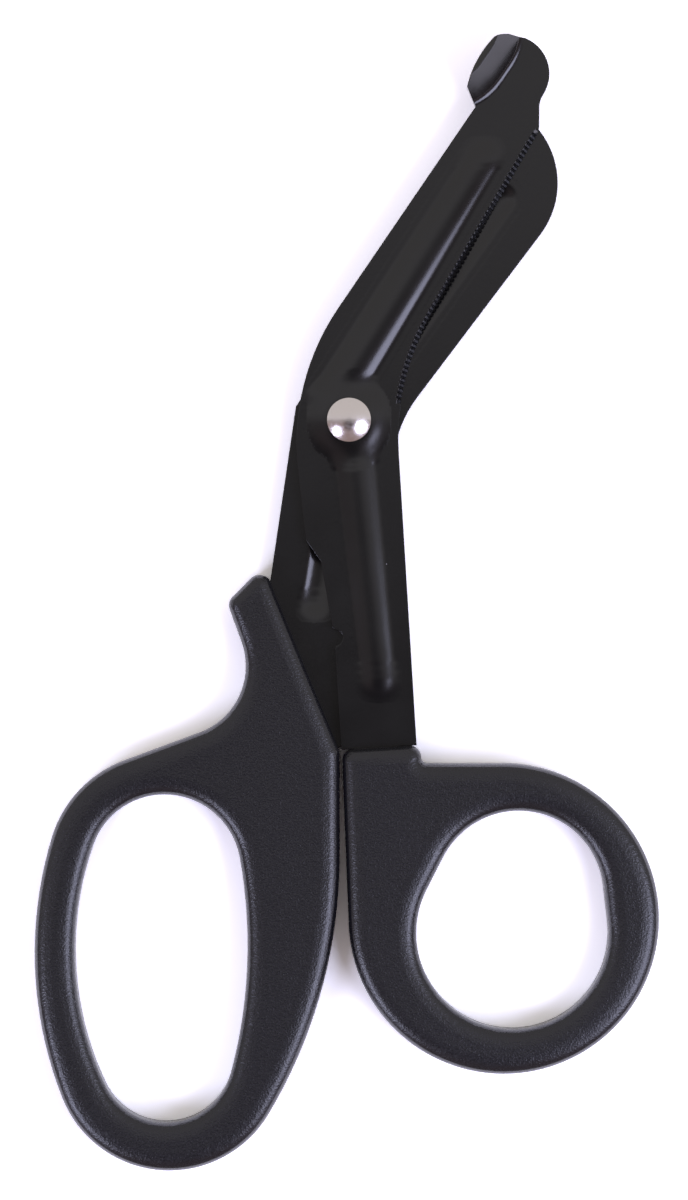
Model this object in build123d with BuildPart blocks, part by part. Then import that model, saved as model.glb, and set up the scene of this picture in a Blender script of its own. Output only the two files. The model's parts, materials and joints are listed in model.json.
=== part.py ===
from build123d import *
import os
from math import acos, asin, atan2, cos, degrees, radians, sin, sqrt, tan

# Bandage scissors with a folded safety foot, closed, lying on their back.
# The pivot axis stands on the origin, +Y runs up the scissors and z = 0 is the table.
# A line's angle leans from +Y towards +X, and its offset is its distance from the pivot, to the right.

# Sheet and levels
handle_thickness = 8.0
sheet = 1.5
blade_gap = 0.10

# Pressed ribs with round backs, and the round boss at the pivot
rib_height = 0.75
boss_height = 0.85
boss_radius = 5.6
boss_flank = 0.9
boss_top_round = 0.6

# Pivot rivet
shank_diameter = 4.0
rivet_head_diameter = 7.3
rivet_head_height = 1.4
rivet_head_rim = 0.25
rivet_tail_diameter = 6.8
rivet_clearance = 0.05

# Thumb blade
thumb_spine_angle = 34.3
thumb_spine_offset = 12.0
thumb_edge_angle = 30.2
thumb_edge_offset = 3.2
thumb_edge_reach = 57.5
thumb_bend_radius = 40.0
thumb_nose_reach = 62.85
thumb_nose_offset = 10.2
thumb_nose_radius = 6.4
thumb_neck_radius = 4.0

# Safety foot, folded up at the thumb blade's tip along a line that bows in from the spine
foot_start = 55.0
foot_bow_offset = 10.4
foot_bow_radius = 12.0
foot_tip_offset = 11.6
foot_bend_radius = 1.4
foot_angle = 52.0
foot_width = 5.8
foot_root = 0.5
foot_edge_offset = 16.1
foot_edge_radius = 17.0

# Thumb blade's tang, with a step and a round notch in its back
thumb_tang_angle = -3.5
thumb_tang_offset = 7.95
thumb_back_angle = -6.5
thumb_back_offset = 9.4
thumb_tang_width = 12.6
step_drop = 20.0
step_width = 2.5
step_height = 3.6
step_radius = 1.4
notch_drop = 36.3
notch_radius = 1.4
notch_corner_radius = 0.6

# Thumb blade's ribs
thumb_rib_angle = 32.0
thumb_rib_offset = -4.0
thumb_rib_length = 51.5
thumb_rib_root_width = 7.2
thumb_rib_tip_width = 5.4
thumb_tail_rib_angle = 173.8
thumb_tail_rib_offset = -0.25
thumb_tail_rib_length = 46.3
thumb_tail_rib_root_width = 6.4
thumb_tail_rib_tip_width = 5.4

# Ground bevel and the fine teeth on it
bevel_width = 0.75
bevel_land = 0.2
tooth_pitch = 0.85
tooth_width = 0.6
tooth_depth = 0.28
tooth_margin = 0.5
tooth_clear = 0.07
edge_root_angle = 22.0

# Finger blade
finger_spine_angle = 37.1
finger_spine_offset = 6.8
finger_tip_reach = 44.0
finger_tip_radius = 14.2
finger_edge_angle = 38.5
finger_edge_offset = 9.9
finger_edge_root = 13.0
finger_heel_height = 2.3
finger_bend_radius = 20.0
finger_tang_angle = 10.2
finger_tang_offset = 8.4
finger_back_angle = 8.4
finger_back_offset = 9.1

# Finger blade's ribs
finger_rib_angle = 36.6
finger_rib_offset = -1.7
finger_rib_length = 47.5
finger_rib_root_width = 7.2
finger_rib_tip_width = 5.2
finger_tail_rib_angle = 190.6
finger_tail_rib_offset = 0.0
finger_tail_rib_length = 33.5
finger_tail_rib_root_width = 6.4
finger_tail_rib_tip_width = 5.0

# Handles: edges, and the closed gap between them
handle_edge_chamfer = 1.1
handle_corner_radius = 1.9
handle_gap = 0.36
handle_meeting_x = -1.37

# Thumb handle: a round ring below a collar
collar_drop = 54.8
collar_lip = 0.65
collar_height = 2.4
collar_blend_radius = 1.0
thumb_ring_inset = 1.1
thumb_ring_radius = 25.85
thumb_hole_shift = 1.45
thumb_hole_fall = 2.4
thumb_hole_radius = 16.0
thumb_hole_top_shift = 2.55
thumb_hole_top_rise = 3.75
thumb_hole_top_radius = 14.2

# Finger handle: a long loop, a bay for the index finger and a horn above it
shank_edge_angle = -22.2
shank_edge_offset = 22.3
shank_corner_radius = 2.5
bay_x = -29.0
bay_drop = 41.0
bay_radius = 11.8
bay_open_angle = 20.0
horn_flank = 7.0
horn_peak_x = -15.8
horn_drop = 25.8
loop_top_x = -30.7
loop_top_drop = 75.1
loop_top_radius = 12.7
loop_top_rim = 6.9
loop_base_x = -29.9
loop_base_drop = 105.8
loop_base_radius = 11.2
loop_base_rim = 8.0
loop_hole_shift = 0.6
loop_outer_bow = 52.0
loop_inner_bow = 82.0
loop_rim_bow = 66.0
grip_bow = 83.5

# Tongues of the tangs inside the handles
tongue_width = 7.4
tongue_corner_radius = 2.0
thumb_tongue_offset = 1.1
thumb_tongue_length = 24.0
finger_tongue_x = -8.6
finger_tongue_drop = 84.0
finger_back_drop = 31.0
finger_shoulder_drop = 54.3
finger_shoulder_height = 3.0

mid_z = handle_thickness / 2
thumb_inner_z = mid_z + blade_gap / 2
thumb_outer_z = thumb_inner_z + sheet
finger_inner_z = mid_z - blade_gap / 2
finger_outer_z = finger_inner_z - sheet


def leaning(lean, reach, shift=0.0):
    """Point at a reach along a leaning line, shifted to its right."""
    turn = radians(lean)
    return Vector(reach * sin(turn) + shift * cos(turn), reach * cos(turn) - shift * sin(turn))


def crossing(lean_a, offset_a, lean_b, offset_b):
    """Point where two leaning lines meet."""
    turn = radians(lean_b - lean_a)
    return leaning(lean_a, (offset_a * cos(turn) - offset_b) / sin(turn), offset_a)


def at_height(lean, line_offset, y):
    """Point of a leaning line at a given y."""
    reach = (y + line_offset * sin(radians(lean))) / cos(radians(lean))
    return leaning(lean, reach, line_offset)


def on_circle(lean, line_offset, centre, radius, far):
    """Point where a leaning line cuts a circle, on its far or near side."""
    middle = centre.dot(leaning(lean, 1.0))
    miss = (centre - leaning(lean, middle, line_offset)).length
    half = sqrt(radius**2 - miss**2)
    return leaning(lean, middle + (half if far else -half), line_offset)


def bow_centre(centre_a, radius_a, centre_b, radius_b, bow):
    """Centre of a long arc that wraps two circles, on the right of the way from a to b."""
    span = centre_b - centre_a
    reach_a = bow - radius_a
    reach_b = bow - radius_b
    along = (span.length**2 + reach_a**2 - reach_b**2) / (2 * span.length)
    across = sqrt(reach_a**2 - along**2)
    forward = span.normalized()
    return centre_a + forward * along + Vector(forward.Y, -forward.X) * across


def touch(centre, bow, inner):
    """Point where a long arc touches a circle that it wraps."""
    return centre + (inner - centre).normalized() * bow


def arc_about(centre, start, end):
    """Draw the shorter arc about a centre from one point to another."""
    middle = ((start - centre).normalized() + (end - centre).normalized()).normalized()
    ThreePointArc(start, centre + middle * (start - centre).length, end)


def round_corner(sketch, point, radius):
    """Round the corner of a sketch that lies nearest to a point."""
    fillet(sketch.vertices().sort_by_distance(point)[0], radius)


def rib_core(shape, outer_z, way, depth):
    """Solid inside a rib's round back, from a depth below its skin, which sinks towards the tip."""
    lean, shift, length, root_width, tip_width = shape
    crown = (root_width**2 / 4 + rib_height**2) / (2 * rib_height)
    tip_height = crown - sqrt(crown**2 - tip_width**2 / 4)
    root = leaning(lean, 0, shift) + Vector(0, 0, outer_z + way * (rib_height - crown))
    tip = leaning(lean, length - tip_width / 2, shift) + Vector(0, 0, outer_z + way * (tip_height - crown))
    reach = (tip - root).length
    radius = crown - depth
    with BuildPart() as core:
        with BuildSketch(Plane(root, x_dir=tip - root, z_dir=leaning(lean, 0, 1.0))):
            with BuildLine():
                Polyline((reach + radius, 0), (0, 0), (0, radius), (reach, radius))
                RadiusArc((reach, radius), (reach + radius, 0), radius)
            make_face()
        revolve(axis=Axis(root, tip - root))
    return core.part


def bevel_profile(start, heading, outward, outer_z):
    """Section of the metal that grinding takes off along a cutting edge."""
    plane = Plane(origin=(start.X, start.Y, outer_z), x_dir=outward, z_dir=heading)
    depth = sheet - bevel_land
    with BuildSketch(plane) as profile:
        with BuildLine():
            Polyline((-2 * bevel_width, depth), (bevel_width, depth), (bevel_width, -2 * depth), close=True)
        make_face()
    return profile.sketch


def tooth_gap(edge_line, distance):
    """One groove across the thumb blade's bevel, square to its cutting edge."""
    spot = edge_line.position_at(distance, position_mode=PositionMode.LENGTH)
    heading = edge_line.tangent_at(distance, position_mode=PositionMode.LENGTH)
    outward = Vector(-heading.Y, heading.X)
    fall = outward * bevel_width - Vector(0, 0, sheet - bevel_land)
    middle = Vector(spot.X, spot.Y, thumb_inner_z + bevel_land) - fall / 2
    with BuildSketch(Plane(middle, x_dir=heading, z_dir=fall)) as groove:
        with BuildLine():
            Polyline(
                (-tooth_width / 2, -tooth_clear),
                (tooth_width / 2, -tooth_clear),
                (0, tooth_depth),
                close=True,
            )
        make_face()
    return extrude(groove.sketch, amount=fall.length, both=True)


def emboss(blade, ribs, outer_z, inner_z):
    """Press the boss and the ribs out of a blade, and their hollows into its inner face."""
    way = 1 if outer_z > inner_z else -1
    boss_taper = degrees(atan2(boss_flank, boss_height))
    hollow_radius = boss_radius - sheet * tan(radians(90 - boss_taper) / 2)
    mid_sheet = Plane.XY.offset(outer_z - way * sheet / 2)
    cores = [rib_core(shape, outer_z, way, 0) for shape in ribs]
    backs = [split(core, mid_sheet, keep=Keep.TOP if way > 0 else Keep.BOTTOM) for core in cores]
    with BuildSketch(Plane.XY.offset(outer_z)) as boss:
        Circle(boss_radius)
    with BuildSketch(Plane.XY.offset(inner_z)) as hollow:
        Circle(hollow_radius)
    with blade:
        extrude(boss.sketch, amount=way * boss_height, taper=boss_taper)
        fillet(blade.edges().group_by(Axis.Z)[-1 if way > 0 else 0], boss_top_round)
        add(backs)
        extrude(hollow.sketch, amount=way * boss_height, taper=boss_taper, mode=Mode.SUBTRACT)
        add([rib_core(shape, outer_z, way, sheet) for shape in ribs], mode=Mode.SUBTRACT)


os.makedirs("parts", exist_ok=True)

# Thumb blade: the points of its blank
thumb_root = crossing(thumb_edge_angle, thumb_edge_offset, thumb_tang_angle, thumb_tang_offset)
thumb_shoulder = crossing(thumb_spine_angle, -thumb_spine_offset, thumb_back_angle, -thumb_back_offset)
edge_end = leaning(thumb_edge_angle, thumb_edge_reach, thumb_edge_offset)
nose_centre = leaning(thumb_spine_angle, thumb_nose_reach, -thumb_nose_offset)
neck = on_circle(0, edge_end.X, nose_centre, thumb_nose_radius, far=False)
foot_heel = leaning(thumb_spine_angle, foot_start, -thumb_spine_offset)
foot_tip = on_circle(thumb_spine_angle, -foot_tip_offset, nose_centre, thumb_nose_radius, far=True)
heel_turn = degrees(acos(1 - (thumb_spine_offset - foot_bow_offset) / foot_bow_radius))
tip_turn = degrees(acos(1 - (foot_tip_offset - foot_bow_offset) / foot_bow_radius))
foot_along = leaning(thumb_spine_angle, 1.0)
tip_reach = foot_tip.dot(foot_along) - foot_bow_radius * sin(radians(tip_turn))
tang_back_offset = thumb_tang_offset - thumb_tang_width
step_top = at_height(thumb_back_angle, -thumb_back_offset, -step_drop)
step_foot = step_top + Vector(step_width, -step_height)
notch_centre = at_height(thumb_tang_angle, tang_back_offset, -notch_drop)
collar_left = leaning(thumb_tang_angle, -collar_drop, tang_back_offset)
collar_right = leaning(thumb_tang_angle, -collar_drop, thumb_tang_offset)
thumb_tongue_end = collar_drop + thumb_tongue_length
tongue_shifts = [thumb_tongue_offset - tongue_width / 2, thumb_tongue_offset + tongue_width / 2]
tongue_roots = [leaning(thumb_tang_angle, -collar_drop, shift) for shift in tongue_shifts]
tongue_ends = [leaning(thumb_tang_angle, -thumb_tongue_end, shift) for shift in tongue_shifts]

with BuildLine() as foot_line:
    heel_bow = JernArc(foot_heel, leaning(thumb_spine_angle + heel_turn, 1.0), foot_bow_radius, heel_turn)
    fold = Line(heel_bow @ 1, leaning(thumb_spine_angle, tip_reach, -foot_bow_offset))
    JernArc(fold @ 1, foot_along, foot_bow_radius, tip_turn)
with BuildPart() as thumb_blade:
    with BuildSketch(Plane.XY.offset(thumb_inner_z)) as thumb_blank:
        with BuildLine():
            add(foot_line.line)
            arc_about(nose_centre, foot_tip, neck)
            Polyline(
                neck,
                edge_end,
                thumb_root,
                collar_right,
                tongue_roots[1],
                tongue_ends[1],
                tongue_ends[0],
                tongue_roots[0],
                collar_left,
                notch_centre,
                step_foot,
                step_top,
                thumb_shoulder,
                foot_heel,
            )
        make_face()
        with Locations(notch_centre):
            Circle(notch_radius, mode=Mode.SUBTRACT)
        for end in (-notch_radius, notch_radius):
            notch_corner = notch_centre + leaning(thumb_tang_angle, end)
            round_corner(thumb_blank, notch_corner, notch_corner_radius)
        round_corner(thumb_blank, neck, thumb_neck_radius)
        round_corner(thumb_blank, edge_end, thumb_neck_radius)
        round_corner(thumb_blank, thumb_root, thumb_bend_radius)
        round_corner(thumb_blank, thumb_shoulder, thumb_bend_radius)
        round_corner(thumb_blank, step_top, step_radius)
        round_corner(thumb_blank, step_foot, step_radius)
        for corner in tongue_ends:
            round_corner(thumb_blank, corner, tongue_corner_radius)
    extrude(amount=sheet)
thumb_ribs = [
    (thumb_rib_angle, thumb_rib_offset, thumb_rib_length, thumb_rib_root_width, thumb_rib_tip_width),
    (
        thumb_tail_rib_angle,
        thumb_tail_rib_offset,
        thumb_tail_rib_length,
        thumb_tail_rib_root_width,
        thumb_tail_rib_tip_width,
    ),
]
emboss(thumb_blade, thumb_ribs, thumb_outer_z, thumb_inner_z)

# Thumb blade: the line of its cutting edge, straight and then round the root
edge_heading = -leaning(thumb_edge_angle, 1.0)
edge_outward = leaning(thumb_edge_angle, 0, 1.0)
root_turn = thumb_edge_angle - thumb_tang_angle
root_tangent = thumb_bend_radius * tan(radians(root_turn / 2))
edge_root = thumb_root - edge_heading * root_tangent
with BuildLine() as edge_path:
    Line(edge_end, edge_root)
    JernArc(edge_root, edge_heading, thumb_bend_radius, edge_root_angle)
edge_line = edge_path.wire()
tooth_count = int((edge_line.length - 2 * tooth_margin) / tooth_pitch)
tooth_spots = [tooth_margin + tooth_pitch * (index + 0.5) for index in range(tooth_count)]
tooth_gaps = [tooth_gap(edge_line, spot) for spot in tooth_spots]
thumb_bevel = bevel_profile(edge_end, edge_heading, edge_outward, thumb_outer_z)
with thumb_blade:
    sweep(thumb_bevel, path=edge_line, mode=Mode.SUBTRACT)
    add(tooth_gaps, mode=Mode.SUBTRACT)

# Thumb blade: the safety foot and the pivot hole
foot_turn = radians(foot_angle)
foot_way = Vector(sin(foot_turn), -cos(foot_turn))
foot_rise = Vector(cos(foot_turn), sin(foot_turn)) * foot_width
bend_centre = Vector(0, sheet + foot_bend_radius)
foot_back = bend_centre + foot_way * (foot_bend_radius + sheet)
foot_face = bend_centre + foot_way * foot_bend_radius
heel_plane = Plane(
    (foot_heel.X, foot_heel.Y, thumb_inner_z),
    x_dir=leaning(thumb_spine_angle + heel_turn, 0, -1.0),
    z_dir=leaning(thumb_spine_angle + heel_turn, 1.0),
)
with BuildSketch(heel_plane) as foot_section:
    with BuildLine():
        Polyline((0, sheet), (-foot_root, sheet), (-foot_root, 0), (0, 0))
        arc_about(bend_centre, Vector(0, 0), foot_back)
        Polyline(foot_back, foot_back + foot_rise, foot_face + foot_rise, foot_face)
        arc_about(bend_centre, foot_face, Vector(0, sheet))
    make_face()
foot_path = foot_line.wire().moved(Location((0, 0, thumb_inner_z)))
nose_plane = Plane((nose_centre.X, nose_centre.Y, thumb_inner_z), x_dir=foot_along)
nose_side = foot_bow_offset - thumb_nose_offset
with thumb_blade:
    sweep(foot_section.sketch, path=foot_path)
    with BuildSketch(nose_plane):
        with Locations((0, nose_side)):
            Rectangle(2 * thumb_nose_radius, 2 * thumb_nose_radius, align=Align.MIN)
        Circle(thumb_nose_radius, mode=Mode.SUBTRACT)
    extrude(amount=handle_thickness, mode=Mode.SUBTRACT)
    with BuildSketch(nose_plane):
        with Locations((0, nose_side)):
            Rectangle(2 * (thumb_nose_reach - foot_start), 2 * foot_width, align=(Align.CENTER, Align.MIN))
        with Locations((0, foot_edge_offset - thumb_nose_offset - foot_edge_radius)):
            Circle(foot_edge_radius, mode=Mode.SUBTRACT)
    extrude(amount=handle_thickness, mode=Mode.SUBTRACT)
    with Locations((0, 0, thumb_outer_z)):
        Hole(shank_diameter / 2 + rivet_clearance)
thumb_blade.part.label = "thumb_blade"
export_step(thumb_blade.part, "parts/thumb_blade.step")

# Finger blade: the points of its blank
finger_tip_centre = leaning(finger_spine_angle, finger_tip_reach, finger_spine_offset - finger_tip_radius)
finger_tip_start = leaning(finger_spine_angle, finger_tip_reach, finger_spine_offset)
finger_tip_end = on_circle(
    finger_edge_angle, -finger_edge_offset, finger_tip_centre, finger_tip_radius, far=True
)
finger_edge_start = leaning(finger_edge_angle, finger_edge_root, -finger_edge_offset)
finger_heel = at_height(finger_back_angle, -finger_back_offset, finger_heel_height)
finger_back_end = at_height(finger_back_angle, -finger_back_offset, -finger_back_drop)
finger_shoulder = at_height(finger_tang_angle, finger_tang_offset, -finger_shoulder_drop)
finger_root = crossing(finger_spine_angle, finger_spine_offset, finger_tang_angle, finger_tang_offset)
finger_tongue_left = finger_tongue_x - tongue_width / 2
finger_tongue_right = finger_tongue_x + tongue_width / 2
finger_tongue_ends = [Vector(x, -finger_tongue_drop) for x in (finger_tongue_left, finger_tongue_right)]

with BuildPart() as finger_blade:
    with BuildSketch(Plane.XY.offset(finger_outer_z)) as finger_blank:
        with BuildLine():
            arc_about(finger_tip_centre, finger_tip_start, finger_tip_end)
            Polyline(
                finger_tip_end,
                finger_edge_start,
                finger_heel,
                finger_back_end,
                Vector(finger_tongue_left, -finger_back_drop),
                finger_tongue_ends[0],
                finger_tongue_ends[1],
                Vector(finger_tongue_right, -finger_shoulder_drop - finger_shoulder_height),
                finger_shoulder,
                finger_root,
                finger_tip_start,
            )
        make_face()
        round_corner(finger_blank, finger_root, finger_bend_radius)
        for corner in finger_tongue_ends:
            round_corner(finger_blank, corner, tongue_corner_radius)
    extrude(amount=sheet)
finger_ribs = [
    (finger_rib_angle, finger_rib_offset, finger_rib_length, finger_rib_root_width, finger_rib_tip_width),
    (
        finger_tail_rib_angle,
        finger_tail_rib_offset,
        finger_tail_rib_length,
        finger_tail_rib_root_width,
        finger_tail_rib_tip_width,
    ),
]
emboss(finger_blade, finger_ribs, finger_outer_z, finger_inner_z)
finger_edge_heading = -leaning(finger_edge_angle, 1.0)
finger_edge_outward = -leaning(finger_edge_angle, 0, 1.0)
finger_edge_line = Edge.make_line(finger_tip_end, finger_edge_start)
finger_bevel = bevel_profile(finger_tip_end, finger_edge_heading, finger_edge_outward, finger_outer_z)
with finger_blade:
    sweep(finger_bevel, path=finger_edge_line, mode=Mode.SUBTRACT)
    with Locations((0, 0, finger_inner_z)):
        Hole(shank_diameter / 2 + rivet_clearance)
finger_blade.part.label = "finger_blade"
export_step(finger_blade.part, "parts/finger_blade.step")

# Pivot rivet: flat tail on the table side, domed head on the thumb blade's boss
tail_top_z = finger_outer_z - boss_height - rivet_clearance
head_base_z = thumb_outer_z + boss_height
head_top_z = head_base_z + rivet_head_height
with BuildPart() as pivot_rivet:
    with BuildSketch(Plane.XZ):
        with BuildLine():
            Polyline(
                (0, head_top_z),
                (0, 0),
                (rivet_tail_diameter / 2, 0),
                (rivet_tail_diameter / 2, tail_top_z),
                (shank_diameter / 2, tail_top_z),
                (shank_diameter / 2, head_base_z),
                (rivet_head_diameter / 2, head_base_z),
                (rivet_head_diameter / 2, head_base_z + rivet_head_rim),
            )
            TangentArc(
                (0, head_top_z),
                (rivet_head_diameter / 2, head_base_z + rivet_head_rim),
                tangent=(1, 0),
            )
        make_face()
    revolve(axis=Axis.Z)
pivot_rivet.part.label = "pivot_rivet"
export_step(pivot_rivet.part, "parts/pivot_rivet.step")

# Thumb handle
thumb_side_x = handle_meeting_x + handle_gap / 2
ring_centre = Vector(thumb_side_x + thumb_ring_inset, -collar_drop - collar_height) + Vector(
    thumb_ring_radius, -thumb_ring_radius
)
ring_top = ring_centre + Vector(0, thumb_ring_radius)
collar_outer = leaning(thumb_tang_angle, -collar_drop, thumb_tang_offset + collar_lip)
collar_inner = Vector(thumb_side_x, collar_left.Y)
collar_foot = at_height(thumb_tang_angle, thumb_tang_offset + collar_lip, ring_top.Y)
side_way = ring_centre - collar_inner
side_turn = degrees(atan2(side_way.X, -side_way.Y)) - degrees(asin(thumb_ring_radius / side_way.length))
side_length = sqrt(side_way.length**2 - thumb_ring_radius**2)
side_foot = collar_inner + Vector(sin(radians(side_turn)), -cos(radians(side_turn))) * side_length
with BuildPart() as thumb_handle:
    with BuildSketch() as thumb_outline:
        with Locations(ring_centre):
            Circle(thumb_ring_radius)
        with BuildLine():
            Polyline(collar_inner, side_foot, ring_centre, ring_top, collar_foot, collar_outer, close=True)
        make_face()
        round_corner(thumb_outline, collar_foot, collar_blend_radius)
        round_corner(thumb_outline, collar_outer, handle_corner_radius)
        round_corner(thumb_outline, collar_inner, handle_corner_radius)
        with BuildSketch(mode=Mode.SUBTRACT):
            with Locations(ring_centre + Vector(thumb_hole_shift, -thumb_hole_fall)):
                Circle(thumb_hole_radius)
            with Locations(ring_centre + Vector(thumb_hole_top_shift, thumb_hole_top_rise)):
                Circle(thumb_hole_top_radius)
            make_hull()
    extrude(amount=handle_thickness)
    rims = thumb_handle.edges().group_by(Axis.Z)
    chamfer(rims[0] + rims[-1], handle_edge_chamfer)
    add(thumb_blade.part, mode=Mode.SUBTRACT)
thumb_handle.part.label = "thumb_handle"
export_step(thumb_handle.part, "parts/thumb_handle.step")

# Finger handle: the points of its loop, bay, horn and grip
finger_side_x = handle_meeting_x - handle_gap / 2
loop_top = Vector(loop_top_x, -loop_top_drop)
loop_base = Vector(loop_base_x, -loop_base_drop)
hole_base = loop_base - Vector(loop_hole_shift, 0)
rim_top_radius = loop_top_radius + loop_top_rim
rim_base_radius = loop_base_radius + loop_base_rim
hole_outer_centre = bow_centre(hole_base, loop_base_radius, loop_top, loop_top_radius, loop_outer_bow)
hole_inner_centre = bow_centre(loop_top, loop_top_radius, hole_base, loop_base_radius, loop_inner_bow)
rim_centre = bow_centre(loop_base, rim_base_radius, loop_top, rim_top_radius, loop_rim_bow)
hole_outer = [touch(hole_outer_centre, loop_outer_bow, end) for end in (loop_top, hole_base)]
hole_inner = [touch(hole_inner_centre, loop_inner_bow, end) for end in (loop_top, hole_base)]
rim_outer = [touch(rim_centre, loop_rim_bow, end) for end in (loop_top, loop_base)]
grip_centre_x = finger_side_x - grip_bow
grip_rise = sqrt((grip_bow - rim_base_radius) ** 2 - (loop_base.X - grip_centre_x) ** 2)
grip_centre = Vector(grip_centre_x, loop_base.Y + grip_rise)
grip_top = Vector(finger_side_x, grip_centre.Y)
grip_base = touch(grip_centre, grip_bow, loop_base)
bay_centre = Vector(bay_x, -bay_drop)
bay_way = loop_top - bay_centre
bay_turn = degrees(acos((bay_radius + rim_top_radius) / bay_way.length))
bay_tangent = bay_way.normalized().rotate(Axis.Z, bay_turn)
bay_low = bay_centre + bay_tangent * bay_radius
rim_high = loop_top - bay_tangent * rim_top_radius
bay_opening = Vector(cos(radians(bay_open_angle)), sin(radians(bay_open_angle)))
bay_high = bay_centre + bay_opening * bay_radius
horn_outer = bay_high + bay_opening.rotate(Axis.Z, 90) * horn_flank
horn_peak = Vector(horn_peak_x, -horn_drop)
horn_inner = at_height(shank_edge_angle, -shank_edge_offset, -horn_drop)
shank_corner = crossing(shank_edge_angle, -shank_edge_offset, 0, finger_side_x)
with BuildPart() as finger_handle:
    with BuildSketch() as finger_outline:
        with BuildLine():
            Polyline(bay_high, horn_outer, horn_peak, horn_inner, shank_corner, grip_top)
            arc_about(grip_centre, grip_top, grip_base)
            arc_about(loop_base, grip_base, rim_outer[1])
            arc_about(rim_centre, rim_outer[1], rim_outer[0])
            arc_about(loop_top, rim_outer[0], rim_high)
            Line(rim_high, bay_low)
            arc_about(bay_centre, bay_low, bay_high)
        make_face()
        round_corner(finger_outline, horn_outer, handle_corner_radius)
        round_corner(finger_outline, horn_peak, handle_corner_radius)
        round_corner(finger_outline, horn_inner, handle_corner_radius)
        round_corner(finger_outline, shank_corner, shank_corner_radius)
        with BuildSketch(mode=Mode.SUBTRACT):
            with BuildLine():
                arc_about(loop_top, hole_outer[0], hole_inner[0])
                arc_about(hole_inner_centre, hole_inner[0], hole_inner[1])
                arc_about(hole_base, hole_inner[1], hole_outer[1])
                arc_about(hole_outer_centre, hole_outer[1], hole_outer[0])
            make_face()
    extrude(amount=handle_thickness)
    rims = finger_handle.edges().group_by(Axis.Z)
    chamfer(rims[0] + rims[-1], handle_edge_chamfer)
    add(finger_blade.part, mode=Mode.SUBTRACT)
finger_handle.part.label = "finger_handle"
export_step(finger_handle.part, "parts/finger_handle.step")
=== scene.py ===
"""Looks of a pair of black bandage scissors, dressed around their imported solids."""

import json
import logging
from dataclasses import dataclass, field
from enum import Enum
from math import asin, ceil, cos, radians, sin
from typing import Any, Callable

import bpy
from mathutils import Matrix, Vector

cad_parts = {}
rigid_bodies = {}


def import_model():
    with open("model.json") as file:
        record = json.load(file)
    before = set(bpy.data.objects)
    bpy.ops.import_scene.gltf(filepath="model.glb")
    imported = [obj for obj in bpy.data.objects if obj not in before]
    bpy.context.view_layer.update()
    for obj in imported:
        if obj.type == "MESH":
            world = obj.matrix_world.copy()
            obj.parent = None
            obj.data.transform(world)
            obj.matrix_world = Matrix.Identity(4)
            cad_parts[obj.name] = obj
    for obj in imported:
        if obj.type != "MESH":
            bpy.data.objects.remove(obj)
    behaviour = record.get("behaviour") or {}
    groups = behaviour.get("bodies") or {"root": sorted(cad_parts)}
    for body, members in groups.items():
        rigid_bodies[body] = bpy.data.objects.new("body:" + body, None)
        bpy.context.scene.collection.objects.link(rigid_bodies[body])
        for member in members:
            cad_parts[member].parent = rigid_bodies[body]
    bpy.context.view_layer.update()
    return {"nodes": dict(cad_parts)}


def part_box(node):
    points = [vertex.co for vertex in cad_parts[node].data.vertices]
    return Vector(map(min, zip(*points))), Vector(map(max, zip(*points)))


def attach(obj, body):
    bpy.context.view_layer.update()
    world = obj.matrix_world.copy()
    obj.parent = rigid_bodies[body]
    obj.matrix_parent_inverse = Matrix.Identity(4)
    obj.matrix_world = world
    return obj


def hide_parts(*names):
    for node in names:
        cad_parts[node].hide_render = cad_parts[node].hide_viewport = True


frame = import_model()

MM = 0.001
# Heights that differ by less than this are the same
HAIR = 0.001 * MM
# A face whose normal rises by more than this lies level
LEVEL = 0.999
# Most values of a noise pattern lie between these two
NOISE_LOW, NOISE_HIGH = 0.3, 0.7
# Places of the two colours and the result on a Mix node that mixes colours
MIX_FIRST, MIX_SECOND, MIX_RESULT = 6, 7, 2
log = logging.getLogger("scissors")


class Body(Enum):
    """The two halves that the pivot joins."""

    THUMB = "thumb_side"
    FINGER = "finger_side"


class Pick(Enum):
    """What a selection in edit mode is made of."""

    CORNER = "VERT"
    EDGE = "EDGE"
    FACE = "FACE"


class Press(Enum):
    """The way that a blade's forms are pressed, and how they join its sheet."""

    UP = "UNION"
    DOWN = "DIFFERENCE"

    @property
    def side(self) -> int:
        """The way as a sign along Z."""
        return 1 if self is Press.UP else -1


def linear(code: str) -> tuple[float, float, float, float]:
    """Turn an sRGB hex colour into linear values.

    Args:
        code: Six hex digits, with or without a leading hash.

    Returns:
        Red, green, blue and alpha for a colour socket.
    """
    digits = code.lstrip("#")
    shares = [int(digits[place:place + 2], 16) / 255 for place in (0, 2, 4)]
    red, green, blue = [
        share / 12.92 if share <= 0.04045 else ((share + 0.055) / 1.055) ** 2.4 for share in shares
    ]
    return red, green, blue, 1.0


def per_metre(size_mm: float) -> float:
    """Texture scale that gives a pattern features of a size in millimetres."""
    return 1.0 / (size_mm * MM)


def add_node(
    tree: bpy.types.NodeTree, kind: str, inputs: dict[str | int, Any] | None = None, **settings: Any
) -> bpy.types.Node:
    """Add a shader node with its settings, values and links.

    Args:
        tree: The node tree of a material or the world.
        kind: Blender's name for the node's type.
        inputs: Socket names or places, each with a value or with a socket to link from.
        **settings: Properties of the node itself.

    Returns:
        The new node.
    """
    node = tree.nodes.new(kind)
    for name, value in settings.items():
        setattr(node, name, value)
    for socket, value in (inputs or {}).items():
        if isinstance(value, bpy.types.NodeSocket):
            tree.links.new(value, node.inputs[socket])
        else:
            node.inputs[socket].default_value = value
    return node


def empty_material(name: str) -> tuple[bpy.types.Material, bpy.types.NodeTree]:
    """Make a material with no nodes.

    Args:
        name: The real material and how its surface was made.

    Returns:
        The material and its node tree.
    """
    material = bpy.data.materials.new(name)
    material.use_nodes = True
    material.node_tree.nodes.clear()
    return material, material.node_tree


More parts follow.
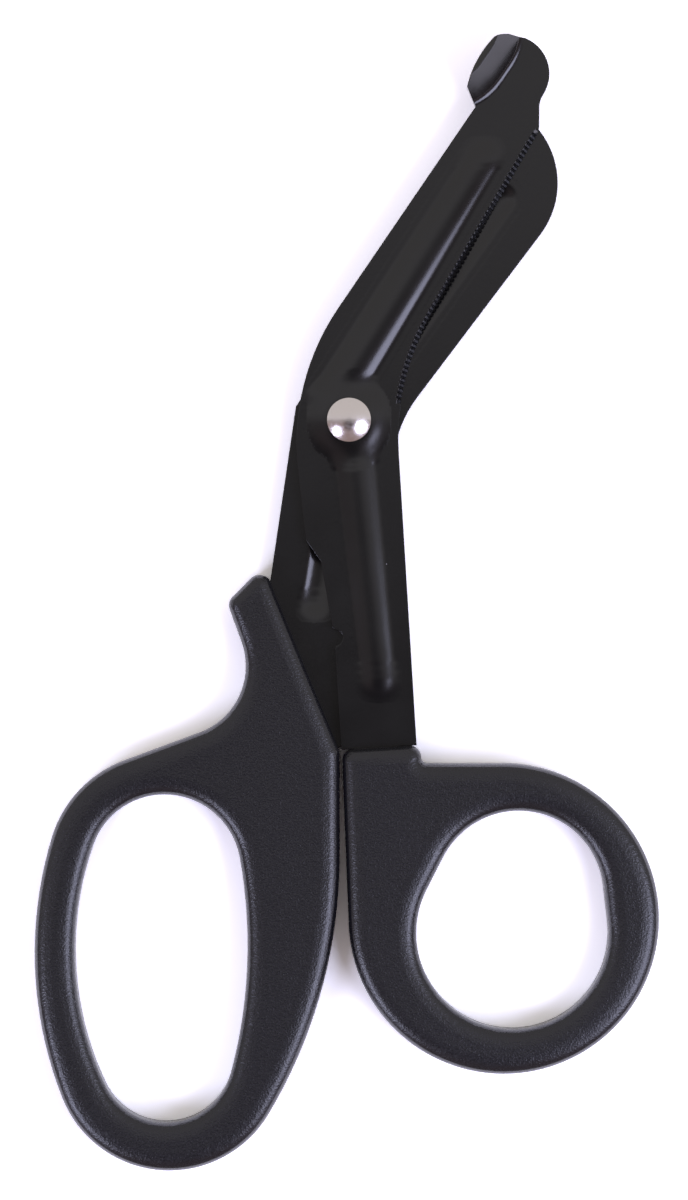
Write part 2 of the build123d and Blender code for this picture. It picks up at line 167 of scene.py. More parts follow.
def dress(piece: bpy.types.Object, material: bpy.types.Material) -> None:
    """Give a piece one material all over.

    Args:
        piece: The object to dress.
        material: Its finish.
    """
    if not piece.data.materials:
        piece.data.materials.append(material)
    for slot in piece.material_slots:
        slot.material = material


def select_only(piece: bpy.types.Object) -> None:
    """Deselect everything, then select one object and make it active.

    Args:
        piece: The object to work on next.
    """
    bpy.ops.object.select_all(action="DESELECT")
    piece.select_set(True)
    bpy.context.view_layer.objects.active = piece


def edit_mode(pick: Pick) -> None:
    """Go to edit mode and pick by corner, edge or face."""
    bpy.ops.object.mode_set(mode="EDIT")
    bpy.ops.mesh.select_mode(type=pick.value)


def object_mode() -> None:
    """Go to object mode, which writes the edits to the mesh."""
    bpy.ops.object.mode_set(mode="OBJECT")


def select_where(piece: bpy.types.Object, pick: Pick, chosen: Callable[[Any], bool]) -> None:
    """Select the parts of the active piece that pass a test, and stay in edit mode.

    Args:
        piece: The active object.
        pick: Whether corners, edges or faces are picked.
        chosen: The test.
    """
    edit_mode(pick)
    bpy.ops.mesh.select_all(action="DESELECT")
    object_mode()
    mesh = piece.data
    parts = {Pick.CORNER: mesh.vertices, Pick.EDGE: mesh.edges, Pick.FACE: mesh.polygons}
    for part in parts[pick]:
        part.select = chosen(part)
    edit_mode(pick)


def turn_faces_outwards() -> None:
    """Point every face of the mesh in edit mode outwards, and leave edit mode."""
    bpy.ops.mesh.select_all(action="SELECT")
    bpy.ops.mesh.normals_make_consistent(inside=False)
    object_mode()


def copy_form(node: str, name: str, merge_mm: float = 0.002, flat_angle: float = 0.6) -> bpy.types.Object:
    """Copy a node's form as a new piece, with its split faces joined.

    Args:
        node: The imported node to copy.
        name: The new piece's name.
        merge_mm: Corners nearer than this become one.
        flat_angle: Faces that meet at less than this, in degrees, become one.

    Returns:
        The new piece, active and in object mode, with nothing selected in its mesh.
    """
    piece = bpy.data.objects.new(name, frame["nodes"][node].data.copy())
    bpy.context.scene.collection.objects.link(piece)
    piece.data.materials.clear()
    select_only(piece)
    bpy.ops.mesh.customdata_custom_splitnormals_clear()
    bpy.ops.object.mode_set(mode="EDIT")
    bpy.ops.mesh.select_all(action="SELECT")
    bpy.ops.mesh.remove_doubles(threshold=merge_mm * MM)
    bpy.ops.mesh.dissolve_limited(angle_limit=radians(flat_angle))
    bpy.ops.mesh.select_all(action="DESELECT")
    object_mode()
    return piece


def keep_flats_flat(piece: bpy.types.Object, angle: float) -> None:
    """Smooth the soft edges of the active piece and let its large faces look flat.

    Args:
        piece: The active object, in object mode.
        angle: Edges sharper than this, in degrees, stay crisp.
    """
    bpy.ops.object.shade_smooth_by_angle(angle=radians(angle))
    flatten = piece.modifiers.new("flat_faces", "WEIGHTED_NORMAL")
    flatten.weight = 100
    flatten.keep_sharp = True
    bpy.ops.object.modifier_apply(modifier=flatten.name)


@dataclass(frozen=True)
class MouldedPolypropylene:
    """Black polypropylene from a spark-eroded mould.

    The eye sees near-black plastic with a faint blue cast, a fine sandy skin and a soft broad shine,
    with single grains that glint. The real grain is finer, and is drawn as coarse as it needs to show.
    """

    colour: str = "#0F0F13"
    pale_colour: str = "#141419"
    grain_mm: float = 0.3
    pit_mm: float = 0.9
    flow_mm: float = 18.0
    grain_depth_mm: float = 0.055
    pit_depth_mm: float = 0.03
    roughness_low: float = 0.22
    roughness_high: float = 0.36
    index: float = 1.49

    def make(self) -> bpy.types.Material:
        """Build the material from its grain, its pits and the slow clouds of its flow.

        Returns:
            The material.
        """
        material, tree = empty_material("moulded_polypropylene_spark_eroded")
        place = add_node(tree, "ShaderNodeTexCoord").outputs["Object"]
        flow = add_node(
            tree, "ShaderNodeTexNoise", {"Vector": place, "Scale": per_metre(self.flow_mm), "Detail": 3.0}
        )
        grain = add_node(
            tree, "ShaderNodeTexNoise", {"Vector": place, "Scale": per_metre(self.grain_mm), "Detail": 2.0}
        )
        pits = add_node(
            tree, "ShaderNodeTexNoise", {"Vector": place, "Scale": per_metre(self.pit_mm), "Detail": 1.0}
        )
        colour = add_node(
            tree,
            "ShaderNodeMix",
            {"Factor": flow.outputs["Fac"], MIX_FIRST: linear(self.colour),
             MIX_SECOND: linear(self.pale_colour)},
            data_type="RGBA",
        )
        shine = add_node(
            tree,
            "ShaderNodeMapRange",
            {"Value": grain.outputs["Fac"], "From Min": NOISE_LOW, "From Max": NOISE_HIGH,
             "To Min": self.roughness_high, "To Max": self.roughness_low},
        )
        dents = add_node(
            tree,
            "ShaderNodeBump",
            {"Strength": 1.0, "Distance": self.pit_depth_mm * MM, "Height": pits.outputs["Fac"]},
        )
        skin = add_node(
            tree,
            "ShaderNodeBump",
            {"Strength": 1.0, "Distance": self.grain_depth_mm * MM, "Height": grain.outputs["Fac"],
             "Normal": dents.outputs["Normal"]},
        )
        shader = add_node(
            tree,
            "ShaderNodeBsdfPrincipled",
            {"Base Color": colour.outputs[MIX_RESULT], "Roughness": shine.outputs["Result"],
             "IOR": self.index, "Normal": skin.outputs["Normal"]},
        )
        add_node(tree, "ShaderNodeOutputMaterial", {"Surface": shader.outputs["BSDF"]})
        return material


@dataclass(frozen=True)
class BakedCoating:
    """Black fluoropolymer coating, sprayed on pressed stainless sheet and baked.

    The eye sees a satin black film that follows every pressed form with soft reflections, with a slight
    ripple, cloudy patches of shine and a few pale specks of lint.
    """

    colour: str = "#0A0A0B"
    worn_colour: str = "#0F0F10"
    lint_colour: str = "#8C8C90"
    ripple_mm: float = 0.7
    ripple_depth_mm: float = 0.003
    cloud_mm: float = 9.0
    lint_spacing_mm: float = 5.0
    lint_radius_mm: float = 0.11
    lint_share: float = 0.22
    roughness_low: float = 0.15
    roughness_high: float = 0.2
    index: float = 1.5
    edge_radius_mm: float = 0.2
    edge_samples: int = 6

    def make(self) -> bpy.types.Material:
        """Build the material from its film, its ripple, the specks on it and its rounded edges.

        Returns:
            The material.
        """
        material, tree = empty_material("baked_coating_on_stainless_sheet")
        place = add_node(tree, "ShaderNodeTexCoord").outputs["Object"]
        cloud = add_node(
            tree, "ShaderNodeTexNoise", {"Vector": place, "Scale": per_metre(self.cloud_mm), "Detail": 4.0}
        )
        ripple = add_node(
            tree, "ShaderNodeTexNoise", {"Vector": place, "Scale": per_metre(self.ripple_mm), "Detail": 2.0}
        )
        lint = add_node(
            tree, "ShaderNodeTexVoronoi", {"Vector": place, "Scale": per_metre(self.lint_spacing_mm)}
        )
        near_lint = add_node(
            tree,
            "ShaderNodeMath",
            {0: lint.outputs["Distance"], 1: self.lint_radius_mm / self.lint_spacing_mm},
            operation="LESS_THAN",
        )
        kept_lint = add_node(
            tree, "ShaderNodeMath", {0: lint.outputs["Color"], 1: self.lint_share}, operation="LESS_THAN"
        )
        specks = add_node(
            tree,
            "ShaderNodeMath",
            {0: near_lint.outputs["Value"], 1: kept_lint.outputs["Value"]},
            operation="MULTIPLY",
        )
        film = add_node(
            tree,
            "ShaderNodeMix",
            {"Factor": cloud.outputs["Fac"], MIX_FIRST: linear(self.colour),
             MIX_SECOND: linear(self.worn_colour)},
            data_type="RGBA",
        )
        colour = add_node(
            tree,
            "ShaderNodeMix",
            {"Factor": specks.outputs["Value"], MIX_FIRST: film.outputs[MIX_RESULT],
             MIX_SECOND: linear(self.lint_colour)},
            data_type="RGBA",
        )
        shine = add_node(
            tree,
            "ShaderNodeMapRange",
            {"Value": cloud.outputs["Fac"], "From Min": NOISE_LOW, "From Max": NOISE_HIGH,
             "To Min": self.roughness_low, "To Max": self.roughness_high},
        )
        edges = add_node(
            tree, "ShaderNodeBevel", {"Radius": self.edge_radius_mm * MM}, samples=self.edge_samples
        )
        skin = add_node(
            tree,
            "ShaderNodeBump",
            {"Strength": 1.0, "Distance": self.ripple_depth_mm * MM, "Height": ripple.outputs["Fac"],
             "Normal": edges.outputs["Normal"]},
        )
        shader = add_node(
            tree,
            "ShaderNodeBsdfPrincipled",
            {"Base Color": colour.outputs[MIX_RESULT], "Roughness": shine.outputs["Result"],
             "IOR": self.index, "Normal": skin.outputs["Normal"]},
        )
        add_node(tree, "ShaderNodeOutputMaterial", {"Surface": shader.outputs["BSDF"]})
        return material


@dataclass(frozen=True)
class PlatedSteel:
    """Nickel-plated steel, headed and barrel polished.

    The eye sees a bright warm-grey mirror with a slight haze and hairline marks from the barrel.
    """

    colour: str = "#D3CDCB"
    mark_mm: float = 0.5
    mark_depth_mm: float = 0.004
    roughness_low: float = 0.17
    roughness_high: float = 0.27

    def make(self) -> bpy.types.Material:
        """Build the material from its bright plate and the marks in it.

        Returns:
            The material.
        """
        material, tree = empty_material("nickel_plated_steel_barrel_polished")
        place = add_node(tree, "ShaderNodeTexCoord").outputs["Object"]
        marks = add_node(
            tree, "ShaderNodeTexNoise", {"Vector": place, "Scale": per_metre(self.mark_mm), "Detail": 4.0}
        )
        haze = add_node(
            tree,
            "ShaderNodeMapRange",
            {"Value": marks.outputs["Fac"], "From Min": NOISE_LOW, "From Max": NOISE_HIGH,
             "To Min": self.roughness_low, "To Max": self.roughness_high},
        )
        skin = add_node(
            tree,
            "ShaderNodeBump",
            {"Strength": 1.0, "Distance": self.mark_depth_mm * MM, "Height": marks.outputs["Fac"]},
        )
        shader = add_node(
            tree,
            "ShaderNodeBsdfPrincipled",
            {"Base Color": linear(self.colour), "Metallic": 1.0, "Roughness": haze.outputs["Result"],
             "Normal": skin.outputs["Normal"]},
        )
        add_node(tree, "ShaderNodeOutputMaterial", {"Surface": shader.outputs["BSDF"]})
        return material


@dataclass(frozen=True)
class SheetPaper:
    """Matt white paper sweep under the scissors, which shows as plain white and keeps their shadow."""

    colour: str = "#EDEDED"
    seen_white: float = 1.6

    def make(self) -> bpy.types.Material:
        """Build the material, whiter to the camera and in reflections than in the light that it sheds.

        Returns:
            The material.
        """
        material, tree = empty_material("matt_white_paper_sweep")
        ray = add_node(tree, "ShaderNodeLightPath").outputs
        straight = add_node(
            tree, "ShaderNodeMath", {0: ray["Is Camera Ray"], 1: ray["Is Glossy Ray"]}, operation="MAXIMUM"
        )
        shown = add_node(
            tree,
            "ShaderNodeMath",
            {0: straight.outputs["Value"], 1: ray["Is Transmission Ray"]},
            operation="MAXIMUM",
        )
        white = (self.seen_white, self.seen_white, self.seen_white, 1.0)
        colour = add_node(
            tree,
            "ShaderNodeMix",
            {"Factor": shown.outputs["Value"], MIX_FIRST: linear(self.colour), MIX_SECOND: white},
            data_type="RGBA",
            clamp_factor=True,
        )
        shader = add_node(tree, "ShaderNodeBsdfDiffuse", {"Color": colour.outputs[MIX_RESULT]})
        add_node(tree, "ShaderNodeOutputMaterial", {"Surface": shader.outputs["BSDF"]})
        return material


@dataclass
class Handle:
    """A moulded handle whose rims are rounded where its solid has a flat chamfer.

    Attributes:
        node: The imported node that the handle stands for.
        name: The piece's own name.
        body: The half that it rides on.
        round_mm: How far each rounding runs from an edge of the chamfer.
        steps: Facets across each rounding.
        crown_rings_mm: Width and rise of each ring by which the top face crowns, from its rim inwards.
        corner_merge_mm: Corners of a ring nearer than this become one, where the rim turns tightly.
        top_band_mm: Level faces nearer to the top than this belong to the top face.
        chamfer_rises: Least and most upward share of a chamfer's normal.
        wall_rise: Most upward share of a wall's normal.
        flat_rise: Least upward share of a flat face's normal.
        smooth_angle: Edges sharper than this, in degrees, stay crisp.
    """

    node: str
    name: str
    body: Body
    round_mm: float = 0.76
    steps: int = 3
    crown_rings_mm: tuple[tuple[float, float], ...] = ((0.7, 0.092), (0.7, 0.037))
    corner_merge_mm: float = 0.5
    top_band_mm: float = 0.01
    chamfer_rises: tuple[float, float] = (0.55, 0.85)
    wall_rise: float = 0.2
    flat_rise: float = 0.98
    smooth_angle: float = 32.0

    def build(self) -> bpy.types.Object:
        """Copy the node's form, round its rims and crown its top.

        Returns:
            The finished piece, riding on its half.
        """
        piece = copy_form(self.node, self.name)
        self.select_rims(piece)
        bpy.ops.mesh.bevel(offset=self.round_mm * MM, segments=self.steps, profile=0.5, affect="EDGES")
        object_mode()
        self.crown(piece)
        keep_flats_flat(piece, self.smooth_angle)
        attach(piece, self.body.value)
        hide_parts(self.node)
        return piece

    def select_rims(self, piece: bpy.types.Object) -> None:
        """Select the two edges of every chamfer face, towards the flat face and towards the wall.

        Args:
            piece: The merged copy of the handle, active and in object mode.
        """
        rises: dict[tuple[int, int], list[float]] = {}
        for face in piece.data.polygons:
            for pair in face.edge_keys:
                rises.setdefault(pair, []).append(abs(face.normal.z))
        select_where(piece, Pick.EDGE, lambda edge: self.is_rim(sorted(rises.get(edge.key, []))))

    def is_rim(self, rises: list[float]) -> bool:
        """Tell whether an edge lies between a chamfer and a wall or a flat face.

        Args:
            rises: Upward share of the normal of each face at the edge, the lowest first.

        Returns:
            True for an edge of a chamfer.
        """
        if len(rises) != 2:
            return False
        least, most = self.chamfer_rises
        sloped = [least < rise < most for rise in rises]
        return sloped[0] != sloped[1] and (rises[0] < self.wall_rise or rises[1] > self.flat_rise)

    def crown(self, piece: bpy.types.Object) -> None:
        """Raise the top face a little in rings, so that its rim looks broad and soft.

        Args:
            piece: The handle with its rims rounded, active and in object mode.
        """
        band = max(corner.co.z for corner in piece.data.vertices) - self.top_band_mm * MM
        select_where(piece, Pick.FACE, lambda face: face.normal.z > LEVEL and face.center.z > band)
        bpy.ops.mesh.remove_doubles(threshold=self.corner_merge_mm * MM)
        for width, rise in self.crown_rings_mm:
            bpy.ops.mesh.inset(thickness=width * MM, depth=rise * MM, use_even_offset=False)
            bpy.ops.mesh.remove_doubles(threshold=self.corner_merge_mm * MM)
        object_mode()


@dataclass
class PressedBlade:
    """A blade of pressed sheet, with the soft run from sheet to rib and boss that a press leaves.

    Attributes:
        node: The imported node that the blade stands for.
        name: The piece's own name.
        body: The half that it rides on.
        press: The way that its ribs and boss are pressed.
        rib_ends_mm: Pairs of places along Y, outside each of which the ribs run out more softly.
        pitch_mm: Spacing of the corners in the pressed skin.
        margin_rings: Rows of corners that the skin runs on over the flat sheet.
        ease_steps: Rounds of smoothing, which set how soft the run is.
        boss_reach_mm: Radii about the pivot inside which the press leaves softer forms still.
        boss_steps: Rounds of smoothing inside each of those radii.
        end_steps: Rounds of smoothing outside each of those pairs.
        start_mm: Height over the forms from which the skin is dropped.
        missed_mm: What stays higher than this over the forms has missed the blade.
        form_mm: What leaves the sheet's face by more than this belongs to a form.
        lift_mm: How far the skin stands off the flat sheet.
        tuck_mm: How far its border is moved back, through the sheet's face.
        back_mm: How far the skin's closed back lies beyond the sheet's face.
        foot_start_mm: Where the folded foot begins, which the skin leaves alone.
        shank_clear_mm: Radius about the pivot that the skin leaves open, under the rivet's head.
        channel_rise: Least upward share of the normal of a face inside a channel.
        smooth_angle: Edges sharper than this, in degrees, stay crisp.
    """

    node: str
    name: str
    body: Body
    press: Press
    rib_ends_mm: tuple[tuple[float, float], ...]
    pitch_mm: float = 0.3
    margin_rings: int = 5
    ease_steps: int = 3
    boss_reach_mm: tuple[float, ...] = (8.4, 7.6, 6.8)
    boss_steps: int = 25
    end_steps: int = 8
    start_mm: float = 5.0
    missed_mm: float = 1.0
    form_mm: float = 0.01
    lift_mm: float = 0.005
    tuck_mm: float = 0.012
    back_mm: float = 0.3
    foot_start_mm: float = 49.0
    shank_clear_mm: float = 3.0
    channel_rise: float = 0.05
    smooth_angle: float = 30.0

    def build(self) -> bpy.types.Object:
        """Copy the blade, take off its ribs and boss and press softer ones in their place.

        Returns:
            The finished piece, riding on its half.
        """
        piece = copy_form(self.node, self.name)
        top, low, high = self.take_forms(piece)
        skin = self.lay_grid(low, high)
        self.trim(skin, top, high)
        self.soften(skin)
        self.close_back(skin, top)
        select_only(piece)
        forms = piece.modifiers.new("pressed_forms", "BOOLEAN")
        forms.operation = self.press.value
        forms.solver = "EXACT"
        forms.object = skin
        bpy.ops.object.modifier_apply(modifier=forms.name)
        bpy.data.objects.remove(skin)
        keep_flats_flat(piece, self.smooth_angle)
        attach(piece, self.body.value)
        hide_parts(self.node)
        return piece

    def take_forms(self, piece: bpy.types.Object) -> tuple[float, Vector, Vector]:
        """Delete the ribs and the boss and close the sheet flat behind them.

        Args:
            piece: The merged copy of the blade, active and in object mode.

        Returns:
            The sheet's height and the low and high corners of what was taken, in metres.
        """
        mesh = piece.data
        top = max(mesh.polygons, key=lambda face: face.area * (face.normal.z > LEVEL)).center.z
        forms = {face.index for face in mesh.polygons if self.is_form(mesh, face, top)}
        corners = {corner for index in forms for corner in mesh.polygons[index].vertices}
        places = [mesh.vertices[corner].co.copy() for corner in corners]
        low, high = [Vector(end(axis) for axis in zip(*places)) for end in (min, max)]
        select_where(piece, Pick.FACE, lambda face: face.index in forms)
        bpy.ops.mesh.delete(type="FACE")
        edit_mode(Pick.EDGE)
        bpy.ops.mesh.select_non_manifold()
        bpy.ops.transform.resize(value=(1, 1, 0), center_override=(0, 0, top))
        bpy.ops.mesh.fill()
        turn_faces_outwards()
        return top, low, high

    def is_form(self, mesh: bpy.types.Mesh, face: bpy.types.MeshPolygon, top: float) -> bool:
        """Tell whether a face of the blade belongs to its ribs or its boss.

        Args:
            mesh: The blade's mesh.
            face: One of its faces.
            top: The sheet's height.

        Returns:
            True for a face that stands on the sheet, or lies in a channel of it, apart from the foot.
        """
        if self.press is Press.DOWN:
            return face.normal.z > self.channel_rise and face.center.z < top - HAIR
        lowest = min(mesh.vertices[corner].co.z for corner in face.vertices)
        raised = lowest > top - HAIR and face.center.z > top + HAIR
        return raised and face.center.y < self.foot_start_mm * MM

    def lay_grid(self, low: Vector, high: Vector) -> bpy.types.Object:
        """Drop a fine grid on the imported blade.

        Args:
            low: The low corner of the forms.
            high: The high corner of the forms.

        Returns:
            The grid, which follows the blade's face wherever it met it.
        """
        margin = (self.margin_rings + 2) * self.pitch_mm * MM
        width, depth = [high[axis] - low[axis] + 2 * margin for axis in (0, 1)]
        middle = ((low.x + high.x) / 2, (low.y + high.y) / 2, high.z + self.start_mm * MM)
        bpy.ops.object.select_all(action="DESELECT")
        bpy.ops.mesh.primitive_grid_add(
            x_subdivisions=ceil(width / (self.pitch_mm * MM)),
            y_subdivisions=ceil(depth / (self.pitch_mm * MM)),
            size=1.0,
            location=(0, 0, 0),
        )
        skin = bpy.context.object
        bpy.ops.object.mode_set(mode="EDIT")
        bpy.ops.mesh.select_all(action="SELECT")
        bpy.ops.transform.resize(value=(width, depth, 1), center_override=(0, 0, 0))
        bpy.ops.transform.translate(value=middle)
        object_mode()
        press = skin.modifiers.new("press", "SHRINKWRAP")
        press.target = frame["nodes"][self.node]
        press.wrap_method = "PROJECT"
        press.use_project_z = True
        press.use_negative_direction = True
        press.use_positive_direction = False
        bpy.ops.object.modifier_apply(modifier=press.name)
        return skin

    def trim(self, skin: bpy.types.Object, top: float, high: Vector) -> None:
        """Keep only the skin over the forms and a margin round them.

        Args:
            skin: The grid on the blade, active and in object mode.
            top: The sheet's height.
            high: The high corner of the forms.
        """
        shank, missed = self.shank_clear_mm * MM, high.z + self.missed_mm * MM
        select_where(skin, Pick.CORNER, lambda corner: corner.co.xy.length < shank or corner.co.z > missed)
        bpy.ops.mesh.delete(type="VERT")
        select_where(
            skin, Pick.CORNER, lambda corner: self.press.side * (corner.co.z - top) > self.form_mm * MM
        )
        for _ in range(self.margin_rings):
            bpy.ops.mesh.select_more()
        bpy.ops.mesh.select_all(action="INVERT")
        bpy.ops.mesh.delete(type="VERT")

    def soften(self, skin: bpy.types.Object) -> None:
        """Smooth the skin all over, and more round the boss and at the ends of the ribs.

        Args:
            skin: The trimmed skin, in edit mode.
        """
        self.ease(skin, lambda spot: True, self.ease_steps)
        for reach in self.boss_reach_mm:
            self.ease(skin, lambda spot: spot.xy.length < reach * MM, self.boss_steps)
        for tail, tip in self.rib_ends_mm:
            self.ease(skin, lambda spot: not tail * MM < spot.y < tip * MM, self.end_steps)

    def ease(self, skin: bpy.types.Object, chosen: Callable[[Vector], bool], rounds: int) -> None:
        """Smooth the height of some of the skin's corners.

        Args:
            skin: The skin, in edit mode.
            chosen: Tells for a corner's place whether it is smoothed.
            rounds: How often.
        """
        select_where(skin, Pick.CORNER, lambda corner: chosen(corner.co))
        bpy.ops.mesh.vertices_smooth(factor=0.5, repeat=rounds, xaxis=False, yaxis=False)

    def close_back(self, skin: bpy.types.Object, top: float) -> None:
        """Tuck the skin's border into the sheet's face and close the skin behind it.

        Args:
            skin: The softened skin, in edit mode.
            top: The sheet's height.
        """
        side = self.press.side
        bpy.ops.mesh.select_all(action="SELECT")
        bpy.ops.transform.translate(value=(0, 0, side * self.lift_mm * MM))
        edit_mode(Pick.EDGE)
        bpy.ops.mesh.select_all(action="DESELECT")
        bpy.ops.mesh.select_non_manifold()
        bpy.ops.transform.translate(value=(0, 0, -side * self.tuck_mm * MM))
        bpy.ops.mesh.extrude_edges_move()
        bpy.ops.transform.resize(value=(1, 1, 0), center_override=(0, 0, top - side * self.back_mm * MM))
        bpy.ops.mesh.fill()
        turn_faces_outwards()


@dataclass
class UpperBlade(PressedBlade):
    """The blade on the thumb side, with ribs and boss pressed up and a folded foot at its tip."""

    node: str = "thumb_blade"
    name: str = "coated_thumb_blade"
    body: Body = Body.THUMB
    press: Press = Press.UP
    rib_ends_mm: tuple[tuple[float, float], ...] = ((-40.5, 42.0), (-42.0, 43.0), (-43.5, 44.0))


@dataclass
class LowerBlade(PressedBlade):
    """The blade on the finger side, with channels that end crisply at the tip, short of y = 60 mm."""

    node: str = "finger_blade"
    name: str = "coated_finger_blade"
    body: Body = Body.FINGER
    press: Press = Press.DOWN
    rib_ends_mm: tuple[tuple[float, float], ...] = ((-28.0, 60.0), (-29.5, 60.0), (-31.0, 60.0))
    ease_steps: int = 2


@dataclass
class PivotRivet:
    """The bright rivet, with a flat tail and a domed head turned in one piece.

    Attributes:
        node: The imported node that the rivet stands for.
        name: The piece's own name.
        body: The half that it rides on.
        tail_radius_mm: Radius of the tail under the blades.
        shank_radius_mm: Radius of the shank through them.
        tail_height_mm: Height of the tail.
        head_height_mm: Height of the head with its dome.
        head_rim_mm: Height of the head's upright rim.
        segments: Facets round the rivet.
        rings: Rings over the dome.
        smooth_angle: Edges sharper than this, in degrees, stay crisp.
    """

    node: str = "pivot_rivet"
    name: str = "polished_rivet"
    body: Body = Body.THUMB
    tail_radius_mm: float = 3.4
    shank_radius_mm: float = 2.0
    tail_height_mm: float = 1.55
    head_height_mm: float = 1.4
    head_rim_mm: float = 0.25
    segments: int = 96
    rings: int = 14
    smooth_angle: float = 30.0

    def build(self) -> bpy.types.Object:
        """Draw the tail's outline and extrude it ring by ring up to the dome.

        Returns:
            The finished piece, riding on the thumb side.
        """
        outline = self.outline()
        radius, height = outline[0]
        bpy.ops.object.select_all(action="DESELECT")
        bpy.ops.mesh.primitive_circle_add(
            vertices=self.segments, radius=radius, fill_type="NGON", location=(0, 0, height)
        )
        piece = bpy.context.object
        piece.name = self.name
        bpy.ops.object.transform_apply(location=True, rotation=True, scale=True)
        bpy.ops.object.mode_set(mode="EDIT")
        bpy.ops.mesh.select_all(action="SELECT")
        for (last_radius, last_height), (radius, height) in zip(outline, outline[1:]):
            bpy.ops.mesh.extrude_region_move(TRANSFORM_OT_translate={"value": (0, 0, height - last_height)})
            share = radius / last_radius
            bpy.ops.transform.resize(value=(share, share, 1), center_override=(0, 0, height))
        bpy.ops.mesh.poke()
        turn_faces_outwards()
        bpy.ops.object.shade_smooth_by_angle(angle=radians(self.smooth_angle))
        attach(piece, self.body.value)
        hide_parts(self.node)
        return piece

    def outline(self) -> list[tuple[float, float]]:
        """Work out the rings of the rivet from the foot of its tail to the top of its dome.

        Returns:
            Radius and height of each ring, in metres.
        """
        low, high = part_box(self.node)
        tail, shank, head = self.tail_radius_mm * MM, self.shank_radius_mm * MM, (high.x - low.x) / 2
        tail_top = low.z + self.tail_height_mm * MM
        head_base = high.z - self.head_height_mm * MM
        rim = high.z - (self.head_height_mm - self.head_rim_mm) * MM
        rise = high.z - rim
        dome_radius = (head ** 2 + rise ** 2) / (2 * rise)
        half_angle = asin(head / dome_radius)
        outline = [(tail, low.z), (tail, tail_top), (shank, tail_top)]
        outline += [(shank, head_base), (head, head_base), (head, rim)]
        for index in range(1, self.rings + 1):
            turn = half_angle * (1 - index / (self.rings + 1))
            outline.append((dome_radius * sin(turn), high.z - dome_radius * (1 - cos(turn))))
        return outline


@dataclass
class SoftBox:
    """A round lamp that points at the scissors.

    Attributes:
        name: Where it stands.
        place_mm: Its middle.
        size_mm: Its diameter.
        power: Its output in watts.
        colour: Its tint, a cool daylight.
    """

    name: str
    place_mm: tuple[float, float, float]
    size_mm: float
    power: float
    colour: str = "#DCDFFF"

    def build(self, aim: Vector) -> None:
        """Hang the lamp and turn it towards a point.

        Args:
            aim: The point that it lights, in metres.
        """
        lamp = bpy.data.lights.new(self.name, "AREA")
        lamp.shape = "DISK"
        lamp.size = self.size_mm * MM
        lamp.energy = self.power
        lamp.color = linear(self.colour)[:3]
        holder = bpy.data.objects.new(self.name, lamp)
        holder.location = Vector(self.place_mm) * MM
        holder.rotation_euler = (aim - holder.location).to_track_quat("-Z", "Y").to_euler()
        bpy.context.scene.collection.objects.link(holder)


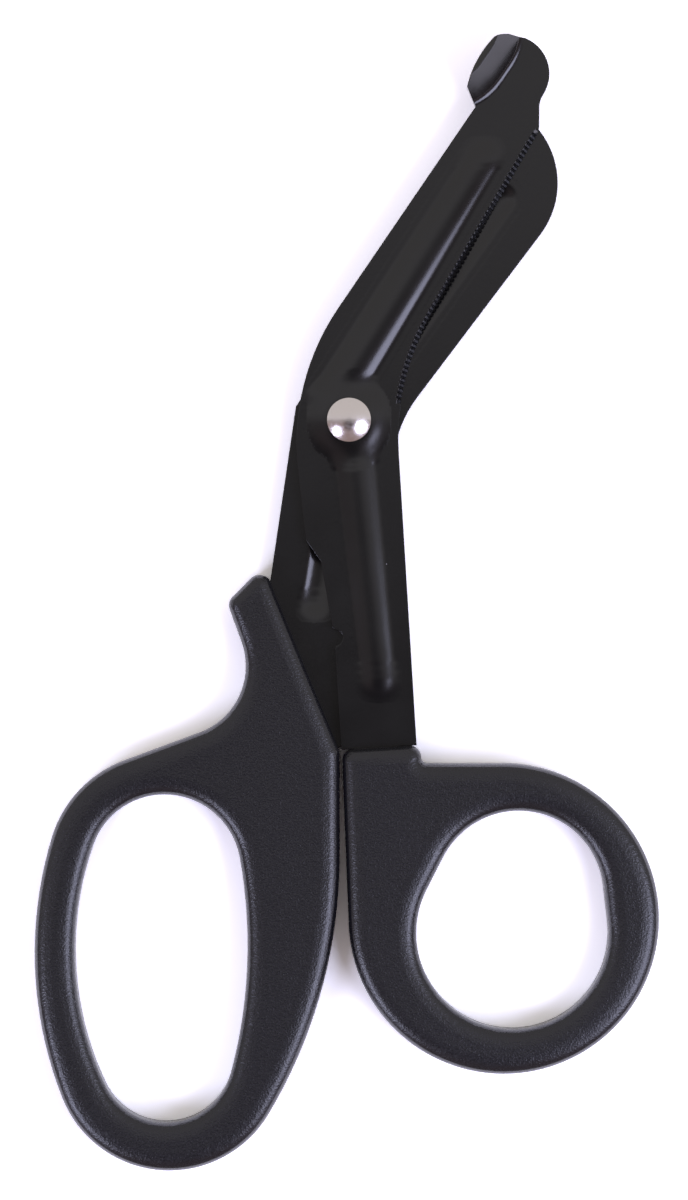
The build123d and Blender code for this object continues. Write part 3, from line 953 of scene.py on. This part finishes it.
@dataclass
class Studio:
    """The table top, the lamps and the camera straight above.

    Attributes:
        aim_mm: The point in the middle of the picture, which the lamps face.
        camera_height_mm: Height of the camera over that point.
        field_height_mm: What the picture's height takes in at that distance.
        sensor_mm: Height of the camera's sensor.
        near_clip_mm: Nearest distance that the camera sees.
        floor_mm: Side of the square table top.
        room_glow: Colours of the room from its near side (0) to its far side (1).
        worker_way: The way to the person who leans over the table and takes light from above.
        worker_angles: Angles about that way, in degrees, where it is dimmest and where it is no longer dim.
        worker_glow: Share of the room's light that is left there.
        lamps: The two soft boxes.
    """

    aim_mm: tuple[float, float, float] = (-0.83, -30.0, 5.0)
    camera_height_mm: float = 900.0
    field_height_mm: float = 200.0
    sensor_mm: float = 36.0
    near_clip_mm: float = 10.0
    floor_mm: float = 4000.0
    room_glow: tuple[tuple[float, str], ...] = (
        (0.0, "#A6928F"),
        (0.4, "#A6928F"),
        (0.495, "#A79F9E"),
        (0.54, "#EFEBEE"),
        (0.62, "#E4DFDE"),
        (1.0, "#E2DDDC"),
    )
    worker_way: tuple[float, float, float] = (0.0, -0.25, 0.97)
    worker_angles: tuple[float, float] = (4.0, 22.0)
    worker_glow: float = 0.2
    lamps: list[SoftBox] = field(
        default_factory=lambda: [
            SoftBox("right_soft_box", (405.0, -233.0, 493.0), 420.0, 3.6),
            SoftBox("left_soft_box", (-373.0, -336.0, 413.0), 270.0, 2.0),
        ]
    )

    def build(self) -> None:
        """Set up the floor, the light and the camera."""
        bpy.ops.object.select_all(action="DESELECT")
        bpy.ops.mesh.primitive_plane_add(size=self.floor_mm * MM, location=(0, 0, 0))
        floor = bpy.context.object
        floor.name = "paper_floor"
        dress(floor, SheetPaper().make())
        aim = Vector(self.aim_mm) * MM
        for lamp in self.lamps:
            lamp.build(aim)
        self.add_room()
        self.add_camera(aim)

    def add_room(self) -> None:
        """Make the room's glow, bright on the far side of the table and dim where a person leans over."""
        world = bpy.data.worlds.new("soft_room")
        bpy.context.scene.world = world
        world.use_nodes = True
        tree = world.node_tree
        tree.nodes.clear()
        way = add_node(tree, "ShaderNodeTexCoord").outputs["Generated"]
        far = add_node(tree, "ShaderNodeSeparateXYZ", {"Vector": way}).outputs["Y"]
        share = add_node(tree, "ShaderNodeMath", {0: far, 1: 0.5, 2: 0.5}, operation="MULTIPLY_ADD")
        glow = add_node(tree, "ShaderNodeValToRGB", {"Fac": share.outputs["Value"]})
        stops = glow.color_ramp.elements
        while len(stops) < len(self.room_glow):
            stops.new(1.0)
        for stop, (spot, tint) in zip(stops, self.room_glow):
            stop.position = spot
            stop.color = linear(tint)
        worker = Vector(self.worker_way).normalized()
        facing = add_node(tree, "ShaderNodeVectorMath", {0: way, 1: worker}, operation="DOT_PRODUCT")
        inner, outer = [cos(radians(angle)) for angle in self.worker_angles]
        shade = add_node(
            tree,
            "ShaderNodeMapRange",
            {"Value": facing.outputs["Value"], "From Min": outer, "From Max": inner,
             "To Min": 1.0, "To Max": self.worker_glow},
            interpolation_type="SMOOTHSTEP",
        )
        room = add_node(
            tree,
            "ShaderNodeBackground",
            {"Color": glow.outputs["Color"], "Strength": shade.outputs["Result"]},
        )
        add_node(tree, "ShaderNodeOutputWorld", {"Surface": room.outputs["Background"]})

    def add_camera(self, aim: Vector) -> None:
        """Hang the camera over the aim with +Y up in its picture.

        Args:
            aim: The point in the middle of the picture, in metres.
        """
        lens = bpy.data.cameras.new("camera")
        lens.sensor_fit = "VERTICAL"
        lens.sensor_height = self.sensor_mm
        lens.lens = self.sensor_mm * self.camera_height_mm / self.field_height_mm
        lens.clip_start = self.near_clip_mm * MM
        holder = bpy.data.objects.new("camera", lens)
        holder.location = aim + Vector((0, 0, self.camera_height_mm * MM))
        bpy.context.scene.collection.objects.link(holder)
        bpy.context.scene.camera = holder


def main() -> None:
    """Build the scissors piece by piece, then the studio around them."""
    logging.basicConfig(level=logging.INFO, format="%(name)s: %(message)s")
    bpy.context.scene.view_settings.view_transform = "Standard"
    plastic = MouldedPolypropylene().make()
    coating = BakedCoating().make()
    steel = PlatedSteel().make()
    pieces = [
        (Handle("thumb_handle", "thumb_grip", Body.THUMB), plastic),
        (Handle("finger_handle", "finger_grip", Body.FINGER), plastic),
        (UpperBlade(), coating),
        (LowerBlade(), coating),
        (PivotRivet(), steel),
    ]
    for maker, finish in pieces:
        piece = maker.build()
        dress(piece, finish)
        log.info("%s has %d faces in %s", piece.name, len(piece.data.polygons), finish.name)
    Studio().build()


if __name__ == "__main__":
    main()
